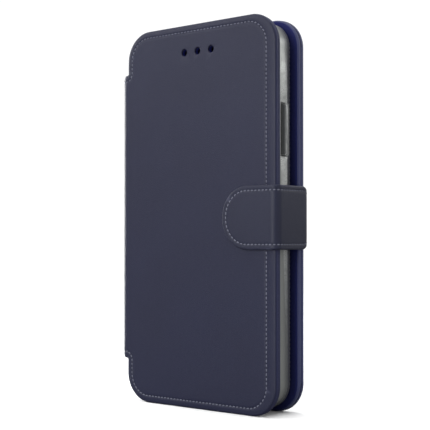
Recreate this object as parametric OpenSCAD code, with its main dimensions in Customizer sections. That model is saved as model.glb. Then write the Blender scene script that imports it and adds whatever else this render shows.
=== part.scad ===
// Phone wallet case: two padded covers, a folding spine, a moulded phone tray
// and a magnetic strap. It stands upright and closed, with its front towards -Y.

/* [Case] */
// Width from the spine's outer face to the covers' free edge
case_w = 78; // [70:0.5:95]
// Height of the covers
case_h = 149; // [130:0.5:175]
// Thickness of the closed case without its strap
case_t = 18.3; // [17:0.1:22]
// Radius of the covers' four corners
corner_r = 11.5; // [6:0.5:14.5]

/* [Covers] */
// Thickness of the front cover
front_t = 3.2; // [3.1:0.1:4]
// Thickness of the back cover
back_t = 3.7; // [3.5:0.1:5]
// Thickness of the outer leather
leather_t = 0.7; // [0.5:0.05:0.9]
// Width of the leather wall turned in round each cover
turned_w = 1; // [0.8:0.1:1.4]
// Depth of that wall on the front cover
front_wall = 1.7; // [1.4:0.1:2]
// Depth of that wall on the back cover
back_wall = 2; // [1.6:0.1:2.2]
// Thickness of the inner lining
lining_t = 0.4; // [0.3:0.05:0.6]
// Width of the lining's stitched border
border_w = 5.4; // [4.6:0.1:6.4]

/* [Spine] */
// Height of the notch below the spine
notch_bottom = 17; // [14.5:0.5:24]
// Height of the notch above the spine
notch_top = 16.5; // [14.5:0.5:24]
// Outer radius of the two folds beside the spine
fold_r = 3; // [2:0.1:3]
// Gap between the folds and the covers
fold_gap = 0.3; // [0.2:0.05:0.5]
// Thickness of the spine's stiffening board
spine_board_t = 0.7; // [0.5:0.1:0.8]

/* [Stitching] */
// Distance from a cover's edge to its stitching
stitch_inset = 2.8; // [2.2:0.1:3.6]
// Distance from the free edge to the stitching beside it
stitch_inset_free = 4.4; // [3:0.1:5]
// Distance from a strap's edge to its stitching
strap_stitch_inset = 1.9; // [1.4:0.1:2.5]
// Width of the thread
thread_w = 0.5; // [0.4:0.05:0.8]
// Height that the thread stands out of the leather
thread_h = 0.12; // [0.1:0.02:0.2]

/* [Earpiece holes] */
// Radius of each hole in the front cover
hole_r = 1.35; // [0.8:0.05:1.8]
// Distance between the holes
hole_pitch = 6.7; // [4:0.1:9]
// Distance of the middle hole from the spine's outer face
hole_x = 40.7; // [30:0.1:50]
// Distance of the holes below the top edge
hole_drop = 10.8; // [9:0.1:13]

/* [Card pockets] */
// Height of a slot panel
slot_h = 92; // [88:1:100]
// Height of the lowest slot edge above the bottom
slot_z = 24; // [18:1:28]
// Distance from the spine's outer face to the first slot's edge
slot_x = 15; // [11:0.5:18]
// Step from each slot's edge to the next one
slot_step = 6; // [3:0.5:8]
// Thickness of a pocket panel
panel_t = 0.25; // [0.2:0.01:0.27]

/* [Tray] */
// Distance from the covers' edges to the tray at the sides
tray_inset = 3; // [2.5:0.1:4]
// Distance from the covers' edges to the tray at the top and bottom
tray_inset_z = 1.9; // [1.5:0.1:4]
// Thickness of the tray's side wall
wall_t = 1.6; // [1.4:0.1:2]
// Thickness of the tray's base
base_t = 1.5; // [1.2:0.1:2]
// Thickness of the adhesive pad behind the tray
pad_t = 1.6; // [0.8:0.1:2]
// Distance from the tray's edge to the pad's edge
pad_inset = 3.5; // [2:0.5:6]
// Width of the lip that keeps the phone in
lip_w = 0.6; // [0.4:0.1:1]
// Depth of that lip
lip_t = 0.8; // [0.6:0.1:1.2]
// Width of the charging port's cutout
port_w = 13; // [9:0.5:18]
// Height of the charging port's cutout
port_h = 5.4; // [5:0.1:5.6]

/* [Camera window] */
// Width of the window through the back
camera_w = 26; // [16:1:34]
// Height of the window through the back
camera_h = 13; // [10:0.5:18]
// Distance from the top edge to the window's centre
camera_drop = 21; // [17:0.5:30]
// Width of the ring that trims the window
bezel_w = 1.2; // [0.8:0.1:2]

/* [Side key] */
// Length of the key
key_len = 19.5; // [12:0.5:26]
// Width of the key
key_w = 2.5; // [2:0.1:2.8]
// Distance from the key's middle to the tray's base
key_back = 1.8; // [1.7:0.1:3]
// Height of the key's centre
key_z = 106.2; // [95:0.1:112]
// Height that the key stands out of the tray
key_proud = 1; // [0.6:0.1:1.4]
// Clearance round the key
key_gap = 0.3; // [0.2:0.05:0.5]
// Depth of the hollow that the key sits in
key_hollow = 0.5; // [0.3:0.1:0.6]

/* [Strap] */
// Height of the strap
strap_h = 23.7; // [18:0.1:30]
// Height of the strap's middle
strap_z = 73.4; // [60:0.1:85]
// Thickness of the strap
strap_t = 1.25; // [1.2:0.05:1.6]
// Gap between the strap and the covers
strap_gap = 0.3; // [0.25:0.05:0.5]
// Reach of the tab over the front cover
tab_len = 24.1; // [20:0.1:32]
// Reach of the strap's root over the back cover
root_len = 27; // [20:0.5:40]
// Thickness of the strap's lining
strap_lining_t = 0.35; // [0.25:0.05:0.4]
// Diameter of each magnet in the tab
magnet_d = 8; // [6:0.5:9]

/* [Hidden] */
$fn = 96;

navy = [0.25, 0.26, 0.33];
dark_navy = [0.09, 0.10, 0.20];
grey_thread = [0.36, 0.37, 0.43];
board_grey = [0.45, 0.44, 0.42];
silver = [0.66, 0.67, 0.69];
charcoal = [0.22, 0.22, 0.26];

cover_x = fold_r + fold_gap;
spine_bottom = notch_bottom;
spine_top = case_h - notch_top;
front_in = front_t;
back_in = case_t - back_t;
back_wall_y = case_t - back_wall;
board_clear = 0.05;
slot_count = 3;
lining_inset = 0.5;
spine_turn = 0.6;

tray_x0 = cover_x + 0.1;
tray_x1 = case_w - tray_inset;
tray_z1 = case_h - tray_inset_z;
tray_back = back_in - pad_t;
tray_floor = tray_back - base_t;
tray_front = front_in + 0.4;
tray_r = corner_r - 2;
tray_mid_x = (tray_x0 + tray_x1) / 2;
camera_z = case_h - camera_drop;
key_y = tray_floor - key_back;
flange = 0.5;
flange_t = 0.3;
flange_seat = 0.75;
port_y = tray_front + lip_t + 0.2;

strap_x = case_w + strap_gap;
strap_end_x = strap_x + strap_t;
strap_front = -strap_gap;
strap_back = case_t + strap_t;
strap_bottom = strap_z - strap_h / 2;
front_bend_r = strap_t + 0.9;
back_bend_r = strap_t + strap_gap;
strap_cut = 1;
tab_tip = case_w - tab_len;
tab_base_x = strap_end_x - front_bend_r - strap_cut;
root_tip = case_w - root_len;
tab_skin = 0.45;
tab_core = strap_t - tab_skin - strap_lining_t;
magnet_x = [tab_tip + strap_h / 2 - 3, tab_base_x - turned_w - magnet_d / 2 - 0.2];

origin_x = strap_end_x / 2;
origin_y = (strap_back + strap_front - strap_t) / 2;
far = 400;

// Moves a sub-part from the case's corner to the part's origin
module piece(shade) {
    color(shade) translate([-origin_x, -origin_y, 0]) children();
}

// Sets an outline drawn in X and Z between two depths
module slab(y0, y1) {
    translate([0, y1, 0]) rotate([90, 0, 0]) linear_extrude(y1 - y0) children();
}

// Rectangle with round corners between two opposite corner points
module rounded(x0, z0, x1, z1, r) {
    translate([x0 + r, z0]) square([x1 - x0 - 2 * r, z1 - z0]);
    translate([x0, z0 + r]) square([x1 - x0, z1 - z0 - 2 * r]);
    for (x = [x0 + r, x1 - r], z = [z0 + r, z1 - r]) translate([x, z]) circle(r);
}

// Outline of a cover, moved in by a margin
module cover_outline(margin = 0) {
    rounded(cover_x + margin, margin, case_w - margin, case_h - margin, corner_r - margin);
}

// Outline of the tray, moved in by a margin
module tray_outline(margin = 0) {
    rounded(tray_x0 + margin, tray_inset_z + margin, tray_x1 - margin, tray_z1 - margin,
            tray_r - margin);
}

// Outline inside a cover's stitching, which runs further in along the free edge
module stitched_outline(side) {
    inset = stitch_inset + side * thread_w / 2;
    inset_free = stitch_inset_free + side * thread_w / 2;
    rounded(cover_x + inset, inset, case_w - inset_free, case_h - inset, corner_r - inset);
}

// Quarter turn of thread round the inner corner of a notch
module notch_turn(z, up) {
    translate([cover_x, z]) intersection() {
        difference() {
            circle(stitch_inset + thread_w / 2);
            circle(stitch_inset - thread_w / 2);
        }
        translate([0, up > 0 ? -far : 0]) square(far);
    }
}

// Thread of a cover: its outline, open towards the spine between the two notches
module cover_thread() {
    difference() {
        stitched_outline(-1);
        stitched_outline(1);
        translate([cover_x, spine_bottom])
            square([stitch_inset + thread_w, spine_top - spine_bottom]);
    }
    notch_turn(spine_top, 1);
    notch_turn(spine_bottom, -1);
}

module earpiece_holes() {
    for (i = [-1:1]) translate([hole_x + i * hole_pitch, case_h - hole_drop]) circle(hole_r);
}

// Window through the back, widened by a margin
module camera_window(margin = 0) {
    x = camera_w / 2 + margin;
    z = camera_h / 2 + margin;
    translate([tray_mid_x, camera_z]) rounded(-x, -z, x, z, 4 + margin);
}

// Outline of the tab: a strap's end with a half-round tip
module tab_outline(margin = 0) {
    r = strap_h / 2 - margin;
    intersection() {
        union() {
            translate([tab_tip + strap_h / 2, strap_z]) circle(r);
            translate([tab_tip + strap_h / 2, strap_z - r]) square(2 * r);
        }
        translate([0, strap_z - r]) square([tab_base_x - margin, 2 * r]);
    }
}

// Outline of the strap's root on the back cover
module root_outline(margin = 0) {
    rounded(root_tip + margin, strap_bottom + margin, strap_end_x + 4,
            strap_bottom + strap_h - margin, 3);
}

// ---------- front cover ----------

module front_leather() {
    piece(navy) difference() {
        slab(0, front_wall) cover_outline();
        slab(leather_t, far) cover_outline(turned_w);
        slab(-1, far) earpiece_holes();
    }
}

module front_board() {
    piece(board_grey) difference() {
        slab(leather_t, front_wall) cover_outline(turned_w + board_clear);
        slab(-1, far) earpiece_holes();
        slab(-1, far) keeper_outline(board_clear);
    }
}

// Outline of the steel plate that the tab's magnets hold to
module keeper_outline(margin = 0) {
    rounded(tab_tip + 3 - margin, strap_z - 8 - margin, case_w - 6 + margin,
            strap_z + 8 + margin, 2);
}

module keeper_plate() {
    piece(silver) slab(leather_t, front_wall) keeper_outline();
}

module front_lining() {
    piece(dark_navy) difference() {
        slab(front_wall, front_t) cover_outline(lining_inset);
        slab(front_wall + lining_t, far) cover_outline(border_w);
        slab(-1, far) earpiece_holes();
    }
}

module front_stitching() {
    piece(grey_thread) slab(-thread_h, 0) cover_thread();
}

// Panel sewn inside the border, from an open edge to the free side
module pocket_panel(layer, x0, z0, z1) {
    y0 = front_wall + lining_t + layer * panel_t;
    piece(dark_navy) slab(y0, y0 + panel_t) intersection() {
        translate([x0, z0]) square([case_w, z1 - z0]);
        cover_outline(border_w + board_clear);
    }
}

module cash_pocket() pocket_panel(0, cover_x + 7, 8, case_h - 20);
module card_slot(number) {
    pocket_panel(number, slot_x + (number - 1) * slot_step, slot_z, slot_z + slot_h);
}
module card_slot_1() card_slot(1);
module card_slot_2() card_slot(2);
module card_slot_3() card_slot(3);

// Thread along the top and bottom of each slot's visible strip
module pocket_stitching() {
    for (number = [1:slot_count]) {
        y0 = front_wall + lining_t + (number + 1) * panel_t;
        x0 = slot_x + (number - 1) * slot_step + 1;
        length = number < slot_count ? slot_step - 1.6 : case_w - border_w - x0 - 2;
        piece(grey_thread) slab(y0, y0 + panel_t / 3)
            for (z = [slot_z + 2, slot_z + slot_h - 2])
                translate([x0, z - thread_w / 2]) square([length, thread_w]);
    }
}

// ---------- spine ----------

// Cross-section of the spine's channel, from one outer offset to another
module channel(outer, inner) {
    intersection() {
        difference() {
            rounded(outer, outer, far, case_t - outer, max(fold_r - outer, 0.2));
            rounded(inner, inner, far, case_t - inner, max(fold_r - inner, 0.2));
        }
        translate([-1, -1]) square([fold_r + 1, case_t + 2]);
    }
}

module spine_leather() {
    piece(navy) translate([0, 0, spine_bottom])
        linear_extrude(spine_top - spine_bottom) channel(0, leather_t);
}

module spine_board() {
    edge = spine_turn + board_clear;
    piece(board_grey) translate([leather_t, fold_r + edge, spine_bottom + lining_inset + edge])
        cube([spine_board_t, case_t - 2 * fold_r - 2 * edge,
              spine_top - spine_bottom - 2 * lining_inset - 2 * edge]);
}

// Lining with turned edges, hollow for the board
module spine_lining() {
    deep = case_t - 2 * fold_r;
    tall = spine_top - spine_bottom;
    piece(dark_navy) difference() {
        translate([leather_t, fold_r, spine_bottom + lining_inset])
            cube([spine_board_t + lining_t, deep, tall - 2 * lining_inset]);
        translate([leather_t - 1, fold_r + spine_turn, spine_bottom + lining_inset + spine_turn])
            cube([spine_board_t + 1, deep - 2 * spine_turn,
                  tall - 2 * lining_inset - 2 * spine_turn]);
    }
}

module spine_stitching() {
    piece(grey_thread)
        for (z = [spine_bottom + stitch_inset, spine_top - stitch_inset])
            translate([0, 0, z - thread_w / 2]) linear_extrude(thread_w)
                channel(-thread_h, 0);
}

// ---------- back cover ----------

module back_leather() {
    piece(navy) difference() {
        slab(back_wall_y, case_t) cover_outline();
        slab(0, case_t - leather_t) cover_outline(turned_w);
        slab(-1, far) camera_window();
    }
}

module back_board() {
    piece(board_grey) difference() {
        slab(back_wall_y, case_t - leather_t) cover_outline(turned_w + board_clear);
        slab(-1, far) camera_window(0.5);
    }
}

module back_foam() {
    piece([0.3, 0.3, 0.34]) difference() {
        slab(back_in + lining_t, back_wall_y)
            cover_outline(lining_inset + turned_w + board_clear);
        slab(-1, far) camera_window(0.5);
    }
}

module back_lining() {
    piece(dark_navy) difference() {
        slab(back_in, back_wall_y) cover_outline(lining_inset);
        slab(back_in + lining_t, far) cover_outline(lining_inset + turned_w);
        slab(-1, far) camera_window();
    }
}

module back_stitching() {
    piece(grey_thread) slab(case_t, case_t + thread_h) difference() {
        cover_thread();
        root_outline(-thread_w / 4);
    }
}

module camera_bezel() {
    piece(charcoal) slab(case_t, case_t + 0.5) difference() {
        camera_window(bezel_w);
        camera_window();
    }
}

// ---------- tray ----------

module adhesive_pad() {
    piece(charcoal) difference() {
        slab(tray_back, back_in) tray_outline(pad_inset);
        slab(-1, far) camera_window(0.5);
    }
}

module tray_base() {
    piece(charcoal) difference() {
        slab(tray_floor, tray_back) tray_outline();
        slab(-1, far) camera_window();
    }
}

// Key's slot through the tray's wall, a seat inside for its flange and a hollow outside
module key_slot() {
    len = key_len + 2 * key_gap;
    wide = key_w + 2 * key_gap;
    inner_x = tray_x1 - wall_t;
    translate([inner_x - 1, key_y - wide / 2, key_z - len / 2]) cube([wall_t + 2, wide, len]);
    translate([inner_x - 1, key_y - wide / 2, key_z - len / 2 - flange])
        cube([flange_seat + 1, wide, len + 2 * flange]);
    translate([tray_x1 - key_hollow, key_y - wide / 2 - 1, key_z - len / 2])
        cube([1, wide + 1, len]);
}

module tray_frame() {
    piece(silver) difference() {
        slab(tray_front, tray_floor) tray_outline();
        slab(tray_front + lip_t, far) tray_outline(wall_t);
        slab(0, far) tray_outline(wall_t + lip_w);
        translate([tray_mid_x - port_w / 2, port_y, 0]) cube([port_w, port_h, 10]);
        key_slot();
    }
}

module side_key() {
    stem = wall_t - flange_seat + flange_t;
    piece(silver) {
        translate([tray_x1 - stem, key_y, key_z]) rotate([0, 90, 0])
            linear_extrude(stem + key_proud)
                rounded(-key_len / 2, -key_w / 2, key_len / 2, key_w / 2, 1);
        translate([tray_x1 - stem, key_y - key_w / 2, key_z - key_len / 2 - flange])
            cube([flange_t, key_w, key_len + 2 * flange]);
    }
}

// ---------- strap ----------

// Cross-section of a strap layer round one corner of the case, by its outer offset
module strap_corner(front, outer, thick) {
    bend_r = front ? front_bend_r : back_bend_r;
    r = bend_r - outer;
    cx = strap_end_x - bend_r;
    cy = front ? strap_front - strap_t + bend_r : strap_back - bend_r;
    intersection() {
        translate([cx, cy]) difference() {
            circle(r);
            circle(r - thick);
        }
        translate([cx, front ? cy - far : cy]) square(far);
    }
}

module strap_root() {
    piece(navy) {
        difference() {
            slab(case_t, strap_back) root_outline();
            translate([strap_end_x - back_bend_r, 0, 0]) cube(far);
        }
        translate([0, 0, strap_bottom]) linear_extrude(strap_h)
            strap_corner(false, 0, strap_t);
    }
}

module strap_root_stitching() {
    piece(grey_thread) slab(strap_back, strap_back + thread_h) difference() {
        root_outline(strap_stitch_inset - thread_w / 2);
        root_outline(strap_stitch_inset + thread_w / 2);
        translate([strap_end_x - back_bend_r, 0]) square(far);
    }
}

// A flat strip of the strap's side, between two distances from the case's edge
module strap_side_flat(x0, x1, margin, height = 0) {
    y0 = strap_front - strap_t + front_bend_r;
    y1 = strap_back - back_bend_r - strap_cut;
    tall = height > 0 ? height : strap_h - 2 * margin;
    translate([strap_x + x0, y0, strap_bottom + margin]) cube([x1 - x0, y1 - y0, tall]);
}

module strap_side_leather() {
    piece(navy) strap_side_flat(strap_lining_t, strap_t, 0);
}

module strap_side_lining() {
    piece(dark_navy) strap_side_flat(0, strap_lining_t, 0.5);
}

module strap_side_stitching() {
    piece(grey_thread)
        for (z = [strap_stitch_inset, strap_h - strap_stitch_inset] - [1, 1] * thread_w / 2)
            strap_side_flat(strap_t, strap_t + thread_h, z, thread_w);
}

module strap_front_bend() {
    piece(navy) translate([0, 0, strap_bottom]) linear_extrude(strap_h)
        strap_corner(true, 0, strap_t);
}

module tab_leather() {
    outer = strap_front - strap_t;
    piece(navy) difference() {
        slab(outer, strap_front - strap_lining_t) tab_outline();
        slab(outer + tab_skin, far) tab_outline(turned_w);
    }
}

module tab_board() {
    outer = strap_front - strap_t + tab_skin;
    piece(board_grey) difference() {
        slab(outer, outer + tab_core) tab_outline(turned_w + board_clear);
        slab(-far, far) for (x = magnet_x) translate([x, strap_z])
            circle(magnet_d / 2 + board_clear);
    }
}

module tab_magnets() {
    outer = strap_front - strap_t + tab_skin;
    piece(silver) slab(outer, outer + tab_core)
        for (x = magnet_x) translate([x, strap_z]) circle(magnet_d / 2);
}

module tab_lining() {
    piece(dark_navy) slab(strap_front - strap_lining_t, strap_front) tab_outline(0.4);
}

module tab_stitching() {
    outer = strap_front - strap_t;
    piece(grey_thread) slab(outer - thread_h, outer) difference() {
        tab_outline(strap_stitch_inset - thread_w / 2);
        tab_outline(strap_stitch_inset + thread_w / 2);
        translate([tab_base_x - strap_stitch_inset - thread_w, 0]) square(far);
    }
}

front_leather();
front_board();
front_lining();
front_stitching();
keeper_plate();
cash_pocket();
card_slot_1();
card_slot_2();
card_slot_3();
pocket_stitching();
spine_leather();
spine_board();
spine_lining();
spine_stitching();
back_leather();
back_board();
back_foam();
back_lining();
back_stitching();
camera_bezel();
adhesive_pad();
tray_base();
tray_frame();
side_key();
strap_root();
strap_root_stitching();
strap_side_leather();
strap_side_lining();
strap_side_stitching();
strap_front_bend();
tab_leather();
tab_board();
tab_magnets();
tab_lining();
tab_stitching();
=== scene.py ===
"""Phone wallet case: leather covers, spine and strap, linings, pockets, tray and stitching."""
import math
import random

import bmesh
import bpy
import numpy as np
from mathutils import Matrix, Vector


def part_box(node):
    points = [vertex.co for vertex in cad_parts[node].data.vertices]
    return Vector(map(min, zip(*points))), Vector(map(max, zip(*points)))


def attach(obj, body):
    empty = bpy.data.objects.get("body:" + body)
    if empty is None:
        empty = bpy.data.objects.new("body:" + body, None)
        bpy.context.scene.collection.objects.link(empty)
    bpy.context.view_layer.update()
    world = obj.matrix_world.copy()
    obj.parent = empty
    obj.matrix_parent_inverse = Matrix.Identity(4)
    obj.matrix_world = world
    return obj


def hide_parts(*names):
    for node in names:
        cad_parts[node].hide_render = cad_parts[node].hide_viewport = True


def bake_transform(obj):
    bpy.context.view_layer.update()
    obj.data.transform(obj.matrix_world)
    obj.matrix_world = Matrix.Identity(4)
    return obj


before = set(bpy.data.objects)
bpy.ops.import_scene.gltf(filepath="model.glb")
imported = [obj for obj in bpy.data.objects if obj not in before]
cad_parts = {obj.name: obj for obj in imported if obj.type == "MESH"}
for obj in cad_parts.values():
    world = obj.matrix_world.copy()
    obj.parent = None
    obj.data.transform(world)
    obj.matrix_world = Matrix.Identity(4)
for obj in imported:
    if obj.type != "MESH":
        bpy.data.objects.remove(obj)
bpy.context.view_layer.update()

MM = 0.001
TINY = 0.01 * MM
random.seed(7)

# ---------- measures taken from the frame ----------

COVER_LO, COVER_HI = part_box("front_leather")
BACK_LO, BACK_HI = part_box("back_leather")
LINING_LO, LINING_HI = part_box("front_lining")
BACK_LINING_LO, BACK_LINING_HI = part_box("back_lining")
SPINE_LO, SPINE_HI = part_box("spine_leather")
TRAY_LO, TRAY_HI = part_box("tray_frame")
KEY_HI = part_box("side_key")[1]
BEZEL_LO, BEZEL_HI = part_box("camera_bezel")
ROOT_LO, ROOT_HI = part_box("strap_root")
SIDE_LO, SIDE_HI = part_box("strap_side_leather")
SIDE_IN_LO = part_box("strap_side_lining")[0]
TAB_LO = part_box("tab_leather")[0]

LEFT, RIGHT = COVER_LO.x, COVER_HI.x
TOP = COVER_HI.z
FRONT, BACK = COVER_LO.y, BACK_HI.y
MID_Y = (FRONT + BACK) / 2
SPINE_X = SPINE_LO.x
FRONT_SKIN = COVER_HI.y - COVER_LO.y
BACK_SKIN = BACK_HI.y - BACK_LO.y
LINING_T = LINING_HI.y - LINING_LO.y
BACK_LINING_T = BACK_LINING_HI.y - BACK_LINING_LO.y

# Covers: outline, edges, seams and folds
CORNER_R = 11.5 * MM
CORNER_STEPS = 18
TRAY_R = 9.5 * MM
FOLD_R = SPINE_HI.x - SPINE_LO.x
FOLD_STEPS = 10
FOLD_X = SPINE_X + FOLD_R
SPINE_SEAM = FOLD_X - FOLD_R * math.pi / 2 - (MID_Y - FRONT - FOLD_R)
FOLD_LEAD = 0.2 * MM
SPARE = 8 * MM
SEAM_LIP = 0.05 * MM
NOTCH_FILLET = 0.6 * MM
EDGE_ROLL = 1 * MM
BACK_ROLL = 0.35 * MM
PAINTED = 0.12 * MM
WALL = 1 * MM
BORDER = 5.4 * MM
LEATHER_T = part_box("front_board")[0].y - FRONT
CROWN = (0.08 * MM, 0.04 * MM)
FIELD_IN, FIELD_RISE = 0.9 * MM, 0.02 * MM
STITCH_INSET = 2.8 * MM
STITCH_INSET_FREE = 4.4 * MM
FREE_EXTRA = STITCH_INSET_FREE - STITCH_INSET
GROOVE_HALF = 0.5 * MM
GROOVE_DEPTH = 0.22 * MM
PATCH = 7 * MM

# Holes and window
HOLE_R = 1.35 * MM
HOLE_FLARE = 0.35 * MM
HOLES = [(SPINE_X + d * MM, TOP - 10.8 * MM) for d in (34, 40.7, 47.4)]
WINDOW_R = 4.1 * MM
BEZEL_LAND = Vector((1.1, 0, 1.1)) * MM
WINDOW_LO, WINDOW_HI = BEZEL_LO + BEZEL_LAND, BEZEL_HI - BEZEL_LAND

# Linings
LINING_ROLL = 0.6 * MM
LINING_MARGIN = 0.15 * MM
LINING_LEDGE = 0.5 * MM
LINING_LEFT = 0.4 * MM
SUNK_ROUND = 0.3 * MM
SPINE_LINING_EDGE = 0.4 * MM
SPINE_LINING_T = 0.4 * MM
SPINE_LINING_ROLL = 0.25 * MM
SPINE_GROOVE_DEPTH = 0.12 * MM

# Strap
STRAP_OUT = SIDE_HI.x
STRAP_R = 3 * MM
STRAP_FOLD_X = STRAP_OUT - STRAP_R
STRAP_T = SIDE_HI.x - SIDE_IN_LO.x
STRAP_SKIN = SIDE_HI.x - SIDE_LO.x
STRAP_FACE = STRAP_SKIN / 2
STRAP_MID = (SIDE_LO.z + SIDE_HI.z) / 2
STRAP_HALF = (SIDE_HI.z - SIDE_LO.z) / 2
STRAP_ROLL = 0.6 * MM
STRAP_STITCH = 1.9 * MM
STRAP_GROOVE_HALF = 0.4 * MM
STRAP_GROOVE_DEPTH = 0.16 * MM
STRAP_CROWN = 0.02 * MM
STRAP_FIELD_IN, STRAP_FIELD_RISE = 0.8 * MM, 0.03 * MM
STRAP_LINING_IN = 0.35 * MM
STRAP_LINING_ROLL = 0.25 * MM
SHOULDER = 1.1 * MM
SHOULDER_LEAD = 0.9 * MM
TAB_TIP_R = 11.6 * MM
ROOT_TIP_R = 5 * MM

# Thread
STITCH_PITCH = 1.64 * MM
STITCH_LEN = 1.14 * MM
STITCH_W = 0.52 * MM
STITCH_H = 0.4 * MM
STITCH_SLANT = 7
POCKET_STITCH = (STITCH_LEN, 0.16 * MM, 0.4 * MM)
THREAD_SUNK = 0.04 * MM
STRAP_THREAD_SUNK = 0.08 * MM
INNER_THREAD_PROUD = 0.1 * MM
THREAD_ANGLE = 60

# ---------- modelling helpers ----------


def pick(piece, kind, test):
    """Enter edit mode on a piece and select the parts whose middle passes a test."""
    bpy.ops.object.mode_set(mode="EDIT")
    bpy.ops.mesh.select_all(action="DESELECT")
    bpy.ops.mesh.select_mode(type={"verts": "VERT", "edges": "EDGE", "faces": "FACE"}[kind])
    mesh = bmesh.from_edit_mesh(piece.data)
    for part in getattr(mesh, kind):
        if kind == "verts":
            middle = part.co
        elif kind == "edges":
            middle = (part.verts[0].co + part.verts[1].co) / 2
        else:
            middle = part.calc_center_median()
        part.select_set(test(part, middle))
    mesh.select_flush_mode()
    bmesh.update_edit_mesh(piece.data)


def done():
    bpy.ops.object.mode_set(mode="OBJECT")


def only(piece):
    bpy.ops.object.select_all(action="DESELECT")
    piece.select_set(True)
    bpy.context.view_layer.objects.active = piece


def blank(name, x0, x1, z0, z1):
    """Flat rectangle at y = 0 that faces -Y."""
    bpy.ops.object.select_all(action="DESELECT")
    bpy.ops.mesh.primitive_plane_add(
        size=1, location=((x0 + x1) / 2, 0, (z0 + z1) / 2), rotation=(math.pi / 2, 0, 0))
    piece = bpy.context.object
    piece.name = piece.data.name = name
    piece.scale = (x1 - x0, z1 - z0, 1)
    bpy.ops.object.transform_apply(location=True, rotation=True, scale=True)
    return piece


def round_corners(piece, test, radius, segments):
    pick(piece, "verts", test)
    bpy.ops.mesh.bevel(offset=radius, offset_type="OFFSET", segments=segments, affect="VERTICES")
    done()


def cut(piece, place, normal, drop=False):
    """Cut all the way through a piece; drop removes what lies on the normal's side."""
    pick(piece, "verts", lambda part, at: True)
    bpy.ops.mesh.bisect(
        plane_co=place, plane_no=normal, clear_outer=drop, use_fill=False, threshold=TINY)
    done()


def one_face(piece):
    pick(piece, "faces", lambda part, at: True)
    bpy.ops.mesh.dissolve_faces(use_verts=False)
    done()


def raise_face(piece, height):
    """Pull the blank's face straight out of -Y and leave its back closed."""
    pick(piece, "faces", lambda part, at: True)
    bpy.ops.mesh.extrude_region_move(TRANSFORM_OT_translate={"value": (0, -height, 0)})


def step_in(inset, rise):
    """Inset the selected face and move it out by rise."""
    bpy.ops.mesh.inset(thickness=inset, depth=rise, use_even_offset=True)


def roll_edge(radius, segments):
    """Quarter-round edge made by insets."""
    for k in range(segments):
        a0 = math.pi / 2 * k / segments
        a1 = math.pi / 2 * (k + 1) / segments
        step_in(radius * (math.cos(a0) - math.cos(a1)), radius * (math.sin(a1) - math.sin(a0)))


def groove(half, depth):
    """Soft channel for the stitches."""
    for part, drop in ((0.45, 0.35), (0.35, 0.65), (0.4, 0), (0.35, -0.65), (0.45, -0.35)):
        step_in(part * half, -drop * depth)


def move_points(piece, rule):
    """Move every point of a piece by a rule on its x, y and z columns."""
    co = np.empty(len(piece.data.vertices) * 3)
    piece.data.vertices.foreach_get("co", co)
    co = rule(co.reshape(-1, 3))
    piece.data.vertices.foreach_set("co", co.ravel())
    piece.data.update()


def face_outwards(piece):
    pick(piece, "faces", lambda part, at: True)
    bpy.ops.mesh.normals_make_consistent(inside=False)
    done()


def smooth(piece, angle=38):
    only(piece)
    bpy.ops.object.shade_smooth_by_angle(angle=math.radians(angle))


def set_face(piece, y, towards_back=False):
    """Put a blank built at y = 0 with its base at a depth, facing the front or the back."""
    sign = -1 if towards_back else 1
    move_points(piece, lambda p: p * [1, sign, 1] + [0, y, 0])
    face_outwards(piece)


def wrap(points, fold_x, side, outer_y, radius):
    """Bend points past fold_x round a fold. side is -1 for a fold on the left, 1 on the right.

    outer_y is the outer face before the fold, which looks to -Y. Depth under that face is kept.
    """
    points = points.copy()
    run = (points[:, 0] - fold_x) * side
    deep = points[:, 1] - outer_y
    turned = run > 0
    quarter = radius * math.pi / 2
    angle = np.clip(run, 0, quarter) / radius
    past = np.clip(run - quarter, 0, None)
    x = fold_x + side * (radius - deep) * np.sin(angle)
    y = outer_y + radius - (radius - deep) * np.cos(angle) + past
    points[turned, 0] = x[turned]
    points[turned, 1] = y[turned]
    return points


def thinned(points, x, y):
    """Nothing left of x lies deeper than y."""
    points = points.copy()
    beyond = points[:, 0] < x
    points[beyond, 1] = np.minimum(points[beyond, 1], y)
    return points


def quilt(piece, x0, x1, z0, z1):
    """Divide the broad faces into small ones, so that they shade evenly."""
    for k in range(1, int((x1 - x0) / PATCH)):
        cut(piece, (x0 + k * PATCH, 0, 0), (1, 0, 0))
    for k in range(1, int((z1 - z0) / PATCH)):
        cut(piece, (0, 0, z0 + k * PATCH), (0, 0, 1))


def cuts_across_fold(piece, fold_x, side, radius):
    """Even cuts through a flat piece where it is to bend, and one step past either end."""
    for k in range(-1, FOLD_STEPS + 3):
        at = fold_x + side * radius * math.pi / 2 * k / FOLD_STEPS
        cut(piece, (at, 0, 0), (1, 0, 0))


def to_back(points):
    """Swap points between the front and the back."""
    return points * [1, -1, 1] + [0, FRONT + BACK, 0]


def mirror_back(piece):
    """Turn a piece built for the front into its twin on the back."""
    move_points(piece, to_back)
    face_outwards(piece)


def inset_of(point, lo, hi, radius):
    """How far a point lies inside a round-cornered outline, seen along Y."""
    over_x = max(lo.x + radius - point.x, point.x - hi.x + radius, 0)
    over_z = max(lo.z + radius - point.z, point.z - hi.z + radius, 0)
    if over_x and over_z:
        return radius - math.hypot(over_x, over_z)
    return min(point.x - lo.x, hi.x - point.x, point.z - lo.z, hi.z - point.z)


def edge_finish(piece, material, margin):
    """Give the faces near the cover's outline a second material, an edge dye that also carries
    painted light, but not the way into the spine.
    """
    piece.data.materials.append(material)
    for face in piece.data.polygons:
        on_spine = SPINE_LO.z - NOTCH_FILLET < face.center.z < SPINE_HI.z + NOTCH_FILLET
        if on_spine and face.center.x < LEFT + STITCH_INSET:
            continue
        if inset_of(face.center, COVER_LO, COVER_HI, CORNER_R) < margin:
            face.material_index = 1


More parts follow.
